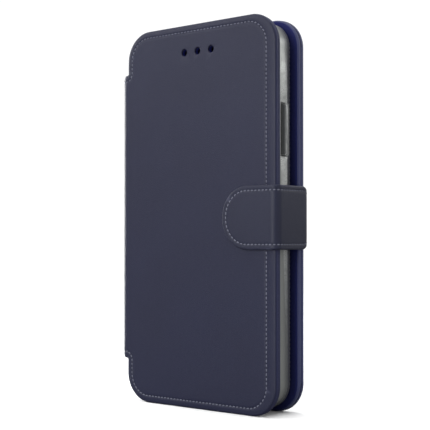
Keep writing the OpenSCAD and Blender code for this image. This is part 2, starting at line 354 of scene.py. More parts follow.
def finish(piece, body, material, nodes=(), angle=38):
    smooth(piece, angle)
    piece.data.materials.clear()
    piece.data.materials.append(material)
    if body:
        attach(piece, body)
    if nodes:
        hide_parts(*nodes)
    return piece


# ---------- outlines ----------


def cover_blank(name, margin, tongue):
    """A cover's outline. With a tongue, it runs on to the left for the fold and half the spine."""
    left, right, low, high = LEFT + margin, RIGHT - margin, margin, TOP - margin
    piece = blank(name, left, right, low, high)
    round_corners(piece, lambda v, at: True, CORNER_R - margin, CORNER_STEPS)
    if tongue:
        for z in (SPINE_LO.z, SPINE_HI.z):
            cut(piece, (0, 0, z), (0, 0, 1))
        pick(piece, "edges", lambda e, at: at.x < left + TINY and SPINE_LO.z < at.z < SPINE_HI.z)
        reach = FOLD_X - SPINE_SEAM + SPARE
        bpy.ops.mesh.extrude_edges_move(TRANSFORM_OT_translate={"value": (-reach, 0, 0)})
        done()
        one_face(piece)
        corners = (SPINE_LO.z, SPINE_HI.z)
        round_corners(
            piece,
            lambda v, at: abs(at.x - left) < TINY and min(abs(at.z - z) for z in corners) < TINY,
            NOTCH_FILLET, 6)
    return piece


def shift_free_edge(extra):
    """Narrow the selected face from its free edge, so that the stitching runs further in there."""
    width = RIGHT - LEFT
    bpy.ops.transform.resize(
        value=((width - extra) / width, 1, 1), center_override=(LEFT, 0, TOP / 2))


def outer_cover(name, thick):
    """Outer leather of a cover with its fold and its half of the spine, still flat."""
    piece = cover_blank(name, 0, True)
    raise_face(piece, thick - EDGE_ROLL - BACK_ROLL)
    roll_edge(EDGE_ROLL, 6)
    for rise in CROWN:
        step_in((STITCH_INSET - EDGE_ROLL - GROOVE_HALF) / len(CROWN), rise)
    shift_free_edge(FREE_EXTRA)
    groove(GROOVE_HALF, GROOVE_DEPTH)
    step_in(FIELD_IN, FIELD_RISE)
    done()
    hollow_out(piece, WALL, thick - LEATHER_T, BACK_ROLL)
    return piece


def hollow_out(piece, wall, depth, roll=0.0):
    """Round the rim at the back of a flat shell and sink its inside, leaving a wall all round."""
    pick(piece, "faces", lambda f, at: f.normal.y > 0.9)
    if roll:
        roll_edge(roll, 3)
    step_in(wall - roll, 0)
    if depth:
        step_in(TINY, -depth)
    done()


def bend_flat(piece, fold_x, side, radius, seam, rule, lip=SEAM_LIP):
    """Cut a flat piece across its fold, end it at the hidden seam, close the end and bend it.

    A narrow lip at the seam keeps the rubbed-edge colour and painted edge highlight off the faces
    beside it.
    """
    cuts_across_fold(piece, fold_x, side, radius)
    if lip:
        cut(piece, (seam - side * lip, 0, 0), (side, 0, 0))
    cut(piece, (seam, 0, 0), (side, 0, 0), drop=True)
    pick(piece, "edges", lambda e, at: e.is_boundary)
    bpy.ops.mesh.edge_face_add()
    done()
    move_points(piece, rule)
    face_outwards(piece)


def fold_rule(points):
    return wrap(points, FOLD_X, -1, FRONT, FOLD_R)


def fold_cover(piece, thick):
    """Lay the flat leather on the front and bend it round to the middle of the spine."""
    set_face(piece, FRONT + thick - BACK_ROLL)
    move_points(piece, lambda p: thinned(p, LEFT - FOLD_LEAD, FRONT + FRONT_SKIN))
    bend_flat(piece, FOLD_X, -1, FOLD_R, SPINE_SEAM, fold_rule)
    quilt(piece, FOLD_X, RIGHT, 0, TOP)


def strap_blank(name, tip, end, half, tip_r):
    """Strip with round corners at its tip, symmetrical about the strap's middle."""
    piece = blank(name, tip, end, STRAP_MID - half, STRAP_MID + half)
    round_corners(piece, lambda v, at: at.x < tip + TINY, tip_r, 14)
    return piece


def shouldered(points, less):
    """Make the flat strap narrower by less on each side, from a soft shoulder at its fold."""
    points = points.copy()
    half_fold = STRAP_R * math.pi / 4
    run = points[:, 0] - STRAP_FOLD_X - half_fold
    share = np.clip(run / (half_fold + SHOULDER_LEAD), 0, 1)
    share = share * share * (3 - 2 * share)
    points[:, 2] = STRAP_MID + (points[:, 2] - STRAP_MID) * (1 - less / STRAP_HALF * (1 - share))
    return points


def strap_seam(outer_y, mid_y):
    """Where the flat strap ends, so that once bent it reaches the middle of its side."""
    return STRAP_FOLD_X + STRAP_R * math.pi / 2 + (mid_y - outer_y - STRAP_R)


def strap_rule(outer_y, less=0.0):
    return lambda p: wrap(shouldered(p, less), STRAP_FOLD_X, 1, outer_y, STRAP_R)


def strap_leather(name, tip, tip_r, outer_y, mid_y, less=0.0):
    """Outer leather of one end of the strap, from its tip to the middle of its side."""
    seam = strap_seam(outer_y, mid_y)
    piece = strap_blank(name, tip, seam + SPARE, STRAP_HALF, tip_r)
    raise_face(piece, STRAP_SKIN - STRAP_ROLL)
    roll_edge(STRAP_ROLL, 5)
    step_in(STRAP_STITCH - STRAP_ROLL - STRAP_GROOVE_HALF, STRAP_CROWN)
    groove(STRAP_GROOVE_HALF, STRAP_GROOVE_DEPTH)
    step_in(STRAP_FIELD_IN, STRAP_FIELD_RISE)
    done()
    hollow_out(piece, WALL, STRAP_SKIN - STRAP_FACE)
    set_face(piece, outer_y + STRAP_SKIN)
    bend_flat(piece, STRAP_FOLD_X, 1, STRAP_R, seam, strap_rule(outer_y, less))
    return piece


def strap_lining(name, tip, tip_r, outer_y, mid_y, less=0.0):
    """Lining of one end of the strap, under its leather."""
    seam = strap_seam(outer_y, mid_y)
    piece = strap_blank(name, tip + STRAP_LINING_IN, seam + SPARE, STRAP_HALF - STRAP_LINING_IN,
                        tip_r - STRAP_LINING_IN)
    raise_face(piece, STRAP_T - STRAP_SKIN - STRAP_LINING_ROLL)
    roll_edge(STRAP_LINING_ROLL, 3)
    done()
    set_face(piece, outer_y + STRAP_SKIN, towards_back=True)
    bend_flat(piece, STRAP_FOLD_X, 1, STRAP_R, seam, strap_rule(outer_y, less))
    return piece


def boolean_cut(piece, cutter):
    """Take a cutter's shape out of a piece and delete the cutter."""
    only(piece)
    tool = piece.modifiers.new("cut", "BOOLEAN")
    tool.operation = "DIFFERENCE"
    tool.solver = "EXACT"
    tool.object = cutter
    bpy.ops.object.modifier_apply(modifier=tool.name)
    bpy.data.objects.remove(cutter, do_unlink=True)


def hole_cutter(x, y, z, radius, flare, depth):
    """Round cutter along Y that flares where it meets a front face at y."""
    bpy.ops.object.select_all(action="DESELECT")
    bpy.ops.mesh.primitive_cylinder_add(
        vertices=32, radius=radius, depth=depth, rotation=(math.pi / 2, 0, 0),
        location=(x, y + flare + depth / 2, z))
    piece = bpy.context.object
    bpy.ops.object.transform_apply(location=True, rotation=True, scale=True)
    pick(piece, "faces", lambda f, at: at.y < y + flare + TINY and abs(f.normal.y) > 0.9)
    steps = 4
    for k in range(steps):
        a0 = math.pi / 2 * k / steps
        a1 = math.pi / 2 * (k + 1) / steps
        bpy.ops.mesh.extrude_region_move(
            TRANSFORM_OT_translate={"value": (0, -flare * (math.sin(a1) - math.sin(a0)), 0)})
        old = radius + flare * (1 - math.cos(a0))
        new = radius + flare * (1 - math.cos(a1))
        bpy.ops.transform.resize(value=(new / old, 1, new / old), center_override=(x, y, z))
    bpy.ops.mesh.extrude_region_move(TRANSFORM_OT_translate={"value": (0, -1 * MM, 0)})
    done()
    return piece


def window_cutter(lo, hi, radius, y0, y1):
    """Round-cornered prism along Y between two depths."""
    piece = blank("cutter", lo.x, hi.x, lo.z, hi.z)
    round_corners(piece, lambda v, at: True, radius, 8)
    raise_face(piece, y1 - y0)
    done()
    set_face(piece, y1)
    return piece


def softened(name, nodes, width, segments=2, angle=35, before=None):
    """Merged copy of CAD nodes with its sharp edges rounded."""
    bpy.ops.object.select_all(action="DESELECT")
    for node in nodes:
        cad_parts[node].select_set(True)
    bpy.context.view_layer.objects.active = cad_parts[nodes[0]]
    bpy.ops.object.duplicate()
    if len(nodes) > 1:
        bpy.ops.object.join()
    piece = bpy.context.object
    piece.name = piece.data.name = name
    only(piece)
    pick(piece, "verts", lambda v, at: True)
    bpy.ops.mesh.remove_doubles(threshold=0.002 * MM)
    bpy.ops.mesh.dissolve_limited(angle_limit=math.radians(1))
    done()
    if before:
        before(piece)
    edge = piece.modifiers.new("edge", "BEVEL")
    edge.width = width
    edge.segments = segments
    edge.limit_method = "ANGLE"
    edge.angle_limit = math.radians(angle)
    edge.harden_normals = False
    bpy.ops.object.modifier_apply(modifier=edge.name)
    return piece


# ---------- stitches ----------


def line(a, b):
    return ("line", a, b)


def arc(centre, radius, start, end):
    return ("arc", centre, radius, start, end)


def walk(path):
    """Points 0.1 mm apart along a path of lines and arcs, as x, z and direction."""
    points = []
    for part in path:
        if part[0] == "line":
            a, b = np.array(part[1]), np.array(part[2])
            count = max(2, int(np.linalg.norm(b - a) / (0.1 * MM)))
            share = np.linspace(0, 1, count)[:, None]
            points.append(a + (b - a) * share)
        else:
            _, (cx, cz), radius, start, end = part
            length = abs(math.radians(end - start)) * radius
            turn = np.radians(np.linspace(start, end, max(2, int(length / (0.1 * MM)))))
            points.append(np.stack([cx + radius * np.cos(turn), cz + radius * np.sin(turn)], 1))
    return np.concatenate(points)


def spaced(points, pitch):
    """Places at an even pitch along a walk, each as x, z and angle."""
    steps = np.linalg.norm(np.diff(points, axis=0), axis=1)
    run = np.concatenate([[0], np.cumsum(steps)])
    count = int(run[-1] / pitch)
    at = (np.arange(count) + 0.5) * run[-1] / count
    x = np.interp(at, run, points[:, 0])
    z = np.interp(at, run, points[:, 1])
    x1 = np.interp(at + 0.05 * MM, run, points[:, 0])
    z1 = np.interp(at + 0.05 * MM, run, points[:, 1])
    return [(a, b, math.atan2(d - b, c - a)) for a, b, c, d in zip(x, z, x1, z1)]


def stitch_model():
    """One stitch: a plump thread that dips into the leather at both ends."""
    bpy.ops.object.select_all(action="DESELECT")
    bpy.ops.mesh.primitive_uv_sphere_add(segments=8, ring_count=7, radius=0.5)
    piece = bpy.context.object
    bpy.ops.transform.rotate(value=math.pi / 2, orient_axis="Y", center_override=(0, 0, 0))
    bpy.ops.object.transform_apply(location=True, rotation=True, scale=True)
    pick(piece, "verts", lambda v, at: 0.1 < abs(at.x) < 0.4)
    bpy.ops.transform.resize(value=(1.12, 1.12, 1.12), center_override=(0, 0, 0))
    done()
    return piece


STITCH = stitch_model()
STITCH_CO = np.array([v.co for v in STITCH.data.vertices])
STITCH_FACES = [list(p.vertices) for p in STITCH.data.polygons]
bpy.data.objects.remove(STITCH, do_unlink=True)


def stitch_row(places, y, size=(STITCH_LEN, STITCH_H, STITCH_W), slant=STITCH_SLANT):
    """Points and faces of one stitch at each place, drawn on a face that looks to -Y at depth y."""
    all_co, all_faces = [], []
    for k, (x, z, angle) in enumerate(places):
        turn = angle + math.radians(slant) + random.uniform(-0.04, 0.04)
        co = STITCH_CO * size * random.uniform(0.95, 1.04)
        c, s = math.cos(turn), math.sin(turn)
        spun = np.stack([co[:, 0] * c - co[:, 2] * s, co[:, 1], co[:, 0] * s + co[:, 2] * c], 1)
        all_co.append(spun + [x, y, z])
        all_faces += [[i + k * len(co) for i in face] for face in STITCH_FACES]
    return np.concatenate(all_co), all_faces


def thread_piece(name, rows, rule):
    """One piece from rows of stitches, each as points and faces, placed or bent by a rule."""
    points, faces, count = [], [], 0
    for row_points, row_faces in rows:
        points.append(row_points)
        faces += [[i + count for i in face] for face in row_faces]
        count += len(row_points)
    mesh = bpy.data.meshes.new(name)
    mesh.from_pydata(rule(np.concatenate(points)).tolist(), [], faces)
    piece = bpy.data.objects.new(name, mesh)
    bpy.context.scene.collection.objects.link(piece)
    only(piece)
    face_outwards(piece)
    return piece


def narrowed(points, extra):
    points = points.copy()
    points[:, 0] = LEFT + (points[:, 0] - LEFT) * (1 - extra / (RIGHT - LEFT))
    return points


def cover_path():
    """Stitch line of a cover, from the middle of the spine round the cover and back to it."""
    r = CORNER_R - STITCH_INSET
    turn = NOTCH_FILLET + STITCH_INSET
    x0, x1 = LEFT + STITCH_INSET, RIGHT - STITCH_INSET
    z0, z1 = STITCH_INSET, TOP - STITCH_INSET
    cx0, cx1 = LEFT + CORNER_R, RIGHT - CORNER_R
    cz0, cz1 = CORNER_R, TOP - CORNER_R
    notch_x = LEFT - NOTCH_FILLET
    high = SPINE_HI.z + NOTCH_FILLET
    low = SPINE_LO.z - NOTCH_FILLET
    return walk([
        line((SPINE_SEAM, SPINE_HI.z - STITCH_INSET), (notch_x, SPINE_HI.z - STITCH_INSET)),
        arc((notch_x, high), turn, -90, 0),
        line((x0, high), (x0, cz1)),
        arc((cx0, cz1), r, 180, 90),
        line((cx0, z1), (cx1, z1)),
        arc((cx1, cz1), r, 90, 0),
        line((x1, cz1), (x1, cz0)),
        arc((cx1, cz0), r, 0, -90),
        line((cx1, z0), (cx0, z0)),
        arc((cx0, cz0), r, 270, 180),
        line((x0, cz0), (x0, low)),
        arc((notch_x, low), turn, 0, 90),
        line((notch_x, SPINE_LO.z + STITCH_INSET), (SPINE_SEAM, SPINE_LO.z + STITCH_INSET)),
    ])


# ---------- finishes ----------


def add(tree, kind, props=(), **inputs):
    """Add a shader node, set its properties, and fill or link its inputs by name or as _number."""
    node = tree.nodes.new("ShaderNode" + kind)
    for key, value in dict(props).items():
        setattr(node, key, value)
    for key, value in inputs.items():
        number = key[1:]
        socket = node.inputs[int(number) if number.isdigit() else key.replace("_", " ")]
        if isinstance(value, bpy.types.NodeSocket):
            tree.links.new(value, socket)
        else:
            socket.default_value = value
    return node


def maths(tree, operation, a, b=0.0):
    return add(tree, "Math", {"operation": operation}, _0=a, _1=b).outputs[0]


def mixed(tree, share, a, b):
    node = add(tree, "Mix", {"data_type": "RGBA"}, _0=share, _6=a, _7=b)
    return node.outputs[2]


def spread(tree, value, low, high, to_low=0.0, to_high=1.0):
    node = add(tree, "MapRange", {"interpolation_type": "SMOOTHSTEP"}, Value=value)
    limits = {"From Min": low, "From Max": high, "To Min": to_low, "To Max": to_high}
    for socket, number in limits.items():
        if isinstance(number, bpy.types.NodeSocket):
            tree.links.new(number, node.inputs[socket])
        else:
            node.inputs[socket].default_value = number
    return node.outputs[0]


def shader_group(name, takes, gives):
    """Empty node group with named sockets; returns it with its inner input and output nodes."""
    tree = bpy.data.node_groups.new(name, "ShaderNodeTree")
    kinds = {"colour": "NodeSocketColor", "value": "NodeSocketFloat", "vector": "NodeSocketVector"}
    for side, sockets in (("INPUT", takes), ("OUTPUT", gives)):
        for label, kind in sockets.items():
            tree.interface.new_socket(label, in_out=side, socket_type=kinds[kind])
    start = tree.nodes.new("NodeGroupInput")
    end = tree.nodes.new("NodeGroupOutput")
    return tree, start.outputs, end.inputs


def place(tree, group, **inputs):
    node = add(tree, "Group", {"node_tree": group})
    for key, value in inputs.items():
        socket = node.inputs[key]
        if isinstance(value, bpy.types.NodeSocket):
            tree.links.new(value, socket)
        else:
            socket.default_value = value
    return node.outputs


def grain_group():
    """Pebbles with fine valleys between them, as on coated leather."""
    tree, given, out = shader_group(
        "leather_grain", {"Vector": "vector", "Scale": "value"},
        {"Height": "value", "Valleys": "value"})
    warp = add(tree, "TexNoise", Vector=given["Vector"],
               Scale=maths(tree, "MULTIPLY", given["Scale"], 0.4), Detail=2.0)
    shift = add(tree, "VectorMath", {"operation": "SCALE"}, _0=warp.outputs["Color"], Scale=0.0005)
    where = add(tree, "VectorMath", {"operation": "ADD"}, _0=given["Vector"], _1=shift.outputs[0])
    cells = add(tree, "TexVoronoi", {"feature": "DISTANCE_TO_EDGE"},
                Vector=where.outputs[0], Scale=given["Scale"])
    pebbles = spread(tree, cells.outputs["Distance"], 0.0, 0.22)
    pores = add(tree, "TexNoise", Vector=given["Vector"],
                Scale=maths(tree, "MULTIPLY", given["Scale"], 2.2), Detail=3.0)
    rough = maths(tree, "MULTIPLY", pores.outputs["Fac"], 0.45)
    tree.links.new(maths(tree, "ADD", pebbles, rough), out["Height"])
    tree.links.new(maths(tree, "SUBTRACT", 1.0, pebbles), out["Valleys"])
    return tree


def drift_group():
    """Slow change from one tone to another over the surface."""
    tree, given, out = shader_group(
        "tone_drift",
        {"Vector": "vector", "Tone": "colour", "Shade": "colour",
         "Scale": "value", "Amount": "value"},
        {"Colour": "colour", "Mask": "value"})
    cloud = add(tree, "TexNoise", Vector=given["Vector"], Scale=given["Scale"], Detail=4.0)
    mask = spread(tree, cloud.outputs["Fac"], 0.3, 0.7)
    share = maths(tree, "MULTIPLY", mask, given["Amount"])
    tree.links.new(mixed(tree, share, given["Tone"], given["Shade"]), out["Colour"])
    tree.links.new(mask, out["Mask"])
    return tree


def wear_and_highlight_group():
    """Lighter, rubbed edges that also serve as painted highlights: strongest where a surface turns
    sharply, broken up by noise.
    """
    tree, given, out = shader_group(
        "edge_wear_and_highlight",
        {"Vector": "vector", "Colour": "colour", "Worn": "colour", "Amount": "value"},
        {"Colour": "colour", "Mask": "value"})
    shape = tree.nodes.new("ShaderNodeNewGeometry")
    ridge = spread(tree, shape.outputs["Pointiness"], 0.52, 0.62)
    patches = add(tree, "TexNoise", Vector=given["Vector"], Scale=420.0, Detail=3.0)
    patchy = spread(tree, patches.outputs["Fac"], 0.3, 0.65, 0.35, 1.0)
    broken = maths(tree, "MULTIPLY", ridge, patchy)
    share = maths(tree, "MULTIPLY", broken, given["Amount"])
    tree.links.new(mixed(tree, share, given["Colour"], given["Worn"]), out["Colour"])
    tree.links.new(share, out["Mask"])
    return tree


def fibre_group():
    """Short fibres laid along one direction, as on suede cloth, thread, felt and board."""
    tree, given, out = shader_group(
        "fibres", {"Vector": "vector", "Scale": "value", "Along": "vector"},
        {"Height": "value", "Mask": "value"})
    laid = add(tree, "VectorMath", {"operation": "MULTIPLY"}, _0=given["Vector"], _1=given["Along"])
    fine = add(tree, "TexNoise", Vector=laid.outputs[0], Scale=given["Scale"],
               Detail=5.0, Roughness=0.65)
    tuft = add(tree, "TexVoronoi", Vector=laid.outputs[0],
               Scale=maths(tree, "MULTIPLY", given["Scale"], 0.6))
    tufted = spread(tree, tuft.outputs["Distance"], 0.0, 0.8, 1.0, 0.5)
    height = maths(tree, "MULTIPLY", fine.outputs["Fac"], tufted)
    tree.links.new(height, out["Height"])
    tree.links.new(spread(tree, height, 0.2, 0.6), out["Mask"])
    return tree


GRAIN = grain_group()
DRIFT = drift_group()
WEAR_AND_HIGHLIGHT = wear_and_highlight_group()
FIBRES = fibre_group()


def colour(red, green, blue):
    """Linear colour from ordinary 0-255 screen values."""
    values = [c / 255 for c in (red, green, blue)]
    return [c / 12.92 if c <= 0.04045 else ((c + 0.055) / 1.055) ** 2.4 for c in values] + [1.0]


def new_material(name):
    material = bpy.data.materials.new(name)
    material.use_nodes = True
    tree = material.node_tree
    tree.nodes.clear()
    where = tree.nodes.new("ShaderNodeTexCoord").outputs["Object"]
    return material, tree, where


def close_material(tree, height, bump, **inputs):
    """Bump, shader and output. bump is the grain's real depth in metres."""
    relief = add(tree, "Bump", Height=height, Distance=bump, Strength=1.0)
    shader = add(tree, "BsdfPrincipled", Normal=relief.outputs[0], **inputs)
    end = tree.nodes.new("ShaderNodeOutputMaterial")
    tree.links.new(shader.outputs[0], end.inputs["Surface"])


def leather(name, tone, shade, worn_and_lit, grain=2100.0, bump=0.016 * MM, rough=0.42):
    material, tree, where = new_material(name)
    pebbles = place(tree, GRAIN, Vector=where, Scale=grain)
    drift = place(tree, DRIFT, Vector=where, Tone=tone, Shade=shade, Scale=38.0, Amount=0.6)
    valley = maths(tree, "MULTIPLY", pebbles["Valleys"], 0.35)
    sunk = mixed(tree, valley, drift["Colour"], shade)
    # Sharp edges and folds painted lighter: partly rubbed wear, partly painted highlight.
    wear_highlight = place(tree, WEAR_AND_HIGHLIGHT, Vector=where, Colour=sunk, Worn=worn_and_lit, Amount=0.35)
    rub = maths(tree, "MULTIPLY", wear_highlight["Mask"], -0.12)
    rough_drift = spread(tree, drift["Mask"], 0.0, 1.0, rough - 0.015, rough + 0.02)
    gloss = maths(tree, "ADD", rough_drift, rub)
    lift = maths(tree, "ADD", maths(tree, "MULTIPLY", pebbles["Valleys"], 0.12), gloss)
    close_material(tree, pebbles["Height"], bump, Base_Color=wear_highlight["Colour"], Roughness=lift,
                   Specular_IOR_Level=0.26)
    return material


def cloth(name, tone, shade, scale=2600.0, bump=0.03 * MM, along=(1, 1, 1), rough=0.9, sheen=0.25,
          sheen_tint=(0.5, 0.55, 0.8, 1.0)):
    material, tree, where = new_material(name)
    fibres = place(tree, FIBRES, Vector=where, Scale=scale, Along=along)
    drift = place(tree, DRIFT, Vector=where, Tone=tone, Shade=shade, Scale=55.0, Amount=0.9)
    flecked = mixed(tree, maths(tree, "MULTIPLY", fibres["Mask"], 0.5), shade, drift["Colour"])
    matt = spread(tree, fibres["Mask"], 0.0, 1.0, rough + 0.06, rough - 0.06)
    close_material(tree, fibres["Height"], bump, Base_Color=flecked, Roughness=matt,
                   Specular_IOR_Level=0.15,
                   Sheen_Weight=sheen, Sheen_Roughness=0.4, Sheen_Tint=sheen_tint)
    return material


def moulded(name, tone, shade, worn_and_lit, metal=0.0, rough=0.4, scale=5200.0, bump=0.004 * MM, coat=0.0):
    """Moulded or painted hard part with a fine spark-eroded texture."""
    material, tree, where = new_material(name)
    spark = add(tree, "TexNoise", Vector=where, Scale=scale, Detail=4.0)
    drift = place(tree, DRIFT, Vector=where, Tone=tone, Shade=shade, Scale=70.0, Amount=0.5)
    # Sharp edges painted lighter: partly rubbed wear, partly painted highlight.
    wear_highlight = place(tree, WEAR_AND_HIGHLIGHT, Vector=where, Colour=drift["Colour"], Worn=worn_and_lit, Amount=0.6)
    gloss = spread(tree, spark.outputs["Fac"], 0.3, 0.7, rough - 0.02, rough + 0.03)
    rubbed = maths(tree, "SUBTRACT", gloss, maths(tree, "MULTIPLY", wear_highlight["Mask"], 0.1))
    close_material(tree, spark.outputs["Fac"], bump, Base_Color=wear_highlight["Colour"], Roughness=rubbed,
                   Metallic=metal, Coat_Weight=coat, Coat_Roughness=0.25)
    return material


NAVY_LEATHER = leather("navy_leather", colour(24, 27, 50), colour(21, 23, 45), colour(74, 76, 98))
# Slightly lighter copy of the navy leather for the strap, making up for the dimmer light on its
# side: painted light.
STRAP_LEATHER_PAINTED_LIGHTER = leather("navy_strap_leather_painted_lighter", colour(27, 30, 50), colour(24, 26, 45),
                        colour(74, 76, 98), grain=2300.0)
# Edge dye, bluer and lighter than the leather: partly the dyed edge, partly painted light standing
# in for light from the side.
EDGE_DYE_AND_PAINTED_LIGHT = leather("navy_edge_dye_and_painted_light", colour(31, 35, 70), colour(27, 30, 62),
                     colour(58, 62, 94))
# Lighter copy of the edge dye for the back cover's edges: painted light.
BACK_EDGE_DYE_PAINTED_LIGHTER = leather("navy_back_edge_dye_painted_lighter", colour(54, 59, 95), colour(47, 51, 87),
                          colour(76, 80, 112))
LINING = cloth("navy_microfibre", colour(40, 45, 98), colour(31, 35, 82), sheen=0.06)
POCKET = cloth("navy_pocket_cloth", colour(31, 34, 62), colour(24, 26, 50), along=(1, 1, 0.35))
THREAD = cloth("grey_blue_thread", colour(130, 132, 144), colour(90, 92, 106), scale=6000.0,
               bump=0.02 * MM, rough=0.62, sheen=0.0)
SILVER = moulded("silver_painted_plastic", colour(131, 133, 131), colour(124, 126, 124),
                 colour(196, 198, 196), metal=0.6, rough=0.33, bump=0.0004 * MM)
KEY_SILVER = moulded("silver_key_plastic", colour(116, 118, 118), colour(102, 104, 104),
                     colour(196, 198, 198), metal=0.25, rough=0.4, bump=0.001 * MM)
CHARCOAL = moulded("charcoal_plastic", colour(62, 63, 72), colour(50, 51, 58), colour(90, 91, 98),
                   rough=0.5, scale=3200.0, bump=0.01 * MM)
BOARD = cloth("navy_pressed_board", colour(46, 52, 128), colour(36, 42, 108), scale=1400.0,
              rough=0.88, sheen=0.0)
FELT = cloth("grey_pad_felt", colour(88, 90, 96), colour(64, 66, 72), scale=1200.0, bump=0.08 * MM)
STEEL = moulded("plated_steel", colour(186, 188, 190), colour(160, 162, 165), colour(214, 214, 214),
                metal=0.95, rough=0.28, scale=1500.0)
RUBBER = moulded("adhesive_rubber", colour(34, 34, 36), colour(26, 26, 28), colour(52, 52, 54),
                 rough=0.75, scale=2200.0, bump=0.02 * MM)

# ---------- outer leather ----------


def drill_earpiece(piece, y, flare, depth):
    for x, z in HOLES:
        boolean_cut(piece, hole_cutter(x, y, z, HOLE_R, flare, depth))
    pick(piece, "verts", lambda v, at: True)
    bpy.ops.mesh.remove_doubles(threshold=0.5 * TINY)
    done()


def cut_window(piece, y0, y1):
    boolean_cut(piece, window_cutter(WINDOW_LO, WINDOW_HI, WINDOW_R, y0, y1))


front_skin = outer_cover("front_cover_leather", FRONT_SKIN)
fold_cover(front_skin, FRONT_SKIN)
drill_earpiece(front_skin, FRONT - sum(CROWN) - FIELD_RISE, HOLE_FLARE, 3 * MM)
finish(front_skin, None, NAVY_LEATHER, ("front_leather", "spine_leather"))
edge_finish(front_skin, EDGE_DYE_AND_PAINTED_LIGHT, PAINTED)
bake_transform(front_skin)

back_skin = outer_cover("back_cover_leather", BACK_SKIN)
fold_cover(back_skin, BACK_SKIN)
mirror_back(back_skin)
cut_window(back_skin, BACK - 4 * MM, BACK + 2 * MM)
finish(back_skin, None, NAVY_LEATHER, ("back_leather",))
edge_finish(back_skin, BACK_EDGE_DYE_PAINTED_LIGHTER, PAINTED)
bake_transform(back_skin)

COVER_PLACES = spaced(narrowed(cover_path(), FREE_EXTRA), STITCH_PITCH)
front_thread = thread_piece(
    "front_cover_stitches", [stitch_row(COVER_PLACES, FRONT + THREAD_SUNK)], fold_rule)
finish(front_thread, None, THREAD, ("front_stitching", "spine_stitching"),
       THREAD_ANGLE)
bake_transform(front_thread)
back_thread = thread_piece(
    "back_cover_stitches", [stitch_row(COVER_PLACES, FRONT + THREAD_SUNK)],
    lambda p: to_back(fold_rule(p)))
finish(back_thread, None, THREAD, ("back_stitching",), THREAD_ANGLE)
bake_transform(back_thread)

# ---------- linings ----------


def lining_panel(name, thick, sunk):
    """Lining with a rolled edge, a sewn channel and, if sunk, a recess inside its border."""
    piece = cover_blank(name, LINING_MARGIN, False)
    raise_face(piece, thick - LINING_ROLL - BACK_ROLL)
    roll_edge(LINING_ROLL, 5)
    step_in(LINING_LEDGE, 0)
    shift_free_edge(FREE_EXTRA)
    step_in(STITCH_INSET - GROOVE_HALF - LINING_ROLL - LINING_MARGIN - LINING_LEDGE, 0)
    groove(GROOVE_HALF, GROOVE_DEPTH)
    if sunk:
        step_in(BORDER - STITCH_INSET - GROOVE_HALF - 0.4 * MM, 0)
        shift_free_edge(-FREE_EXTRA)
        steps = 4
        for k in range(steps):
            a0, a1 = math.pi / 2 * k / steps, math.pi / 2 * (k + 1) / steps
            step_in(SUNK_ROUND * (math.sin(a1) - math.sin(a0)),
                    -SUNK_ROUND * (math.cos(a0) - math.cos(a1)))
        step_in(2 * TINY, SUNK_ROUND - sunk)
    done()
    hollow_out(piece, WALL, 0 if sunk else thick - LINING_LEFT, BACK_ROLL)
    quilt(piece, LEFT, RIGHT, 0, TOP)
    return piece


front_lining = lining_panel("front_cover_lining", LINING_T, LINING_T - LINING_LEFT)
set_face(front_lining, LINING_LO.y + BACK_ROLL, towards_back=True)
drill_earpiece(front_lining, LINING_LO.y - 2 * MM, 0.1 * MM, 5 * MM)
finish(front_lining, "front_cover", LINING, ("front_lining",))
edge_finish(front_lining, EDGE_DYE_AND_PAINTED_LIGHT, LINING_MARGIN + LINING_ROLL)

back_lining = lining_panel("back_cover_lining", BACK_LINING_T, 0)
set_face(back_lining, BACK_LINING_HI.y - BACK_ROLL)
cut_window(back_lining, BACK_LINING_LO.y - 2 * MM, BACK)
finish(back_lining, "back_cover", LINING, ("back_lining",))
edge_finish(back_lining, BACK_EDGE_DYE_PAINTED_LIGHTER, LINING_MARGIN + LINING_ROLL)


def spine_lining_half(name):
    """Half of the spine's lining, cut flat and bent round the fold under the leather."""
    edge = SPINE_LINING_EDGE
    piece = blank(name, SPINE_SEAM - SPARE, LEFT, SPINE_LO.z + edge, SPINE_HI.z - edge)
    raise_face(piece, SPINE_LINING_T - SPINE_LINING_ROLL)
    roll_edge(SPINE_LINING_ROLL, 3)
    step_in(STITCH_INSET - GROOVE_HALF - SPINE_LINING_ROLL - edge, 0)
    groove(GROOVE_HALF, SPINE_GROOVE_DEPTH)
    done()
    set_face(piece, FRONT + FRONT_SKIN, towards_back=True)
    bend_flat(piece, FOLD_X, -1, FOLD_R, SPINE_SEAM, fold_rule, lip=0)
    return piece


spine_inner_front = spine_lining_half("spine_lining_front_half")
finish(spine_inner_front, None, LINING, ("spine_lining",))
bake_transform(spine_inner_front)
spine_inner_back = spine_lining_half("spine_lining_back_half")
mirror_back(spine_inner_back)
finish(spine_inner_back, None, LINING)
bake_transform(spine_inner_back)


def inner_thread(name, cover_depth):
    """Inner side of the cover's seam, on the cover's lining and on the spine's."""
    on_spine = [p for p in COVER_PLACES if p[0] < LEFT - 0.8 * MM]
    on_cover = [p for p in COVER_PLACES if p[0] > LEFT + 1.2 * MM]
    depths = (FRONT_SKIN + SPINE_LINING_T, cover_depth)
    rows = [stitch_row(places, FRONT + depth - INNER_THREAD_PROUD, slant=-STITCH_SLANT)
            for places, depth in zip((on_spine, on_cover), depths)]
    return thread_piece(name, rows, fold_rule)


front_seam = inner_thread("front_inner_stitches", LINING_HI.y - FRONT)
finish(front_seam, None, THREAD, (), THREAD_ANGLE)
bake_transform(front_seam)
back_seam = inner_thread("back_inner_stitches", BACK - BACK_LINING_LO.y)
mirror_back(back_seam)
finish(back_seam, None, THREAD, (), THREAD_ANGLE)
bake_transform(back_seam)

# ---------- pockets ----------

for node in ("cash_pocket", "card_slot_1", "card_slot_2", "card_slot_3"):
    panel = softened(node + "_panel", [node], 0.09 * MM)
    finish(panel, "front_cover", POCKET, (node,))

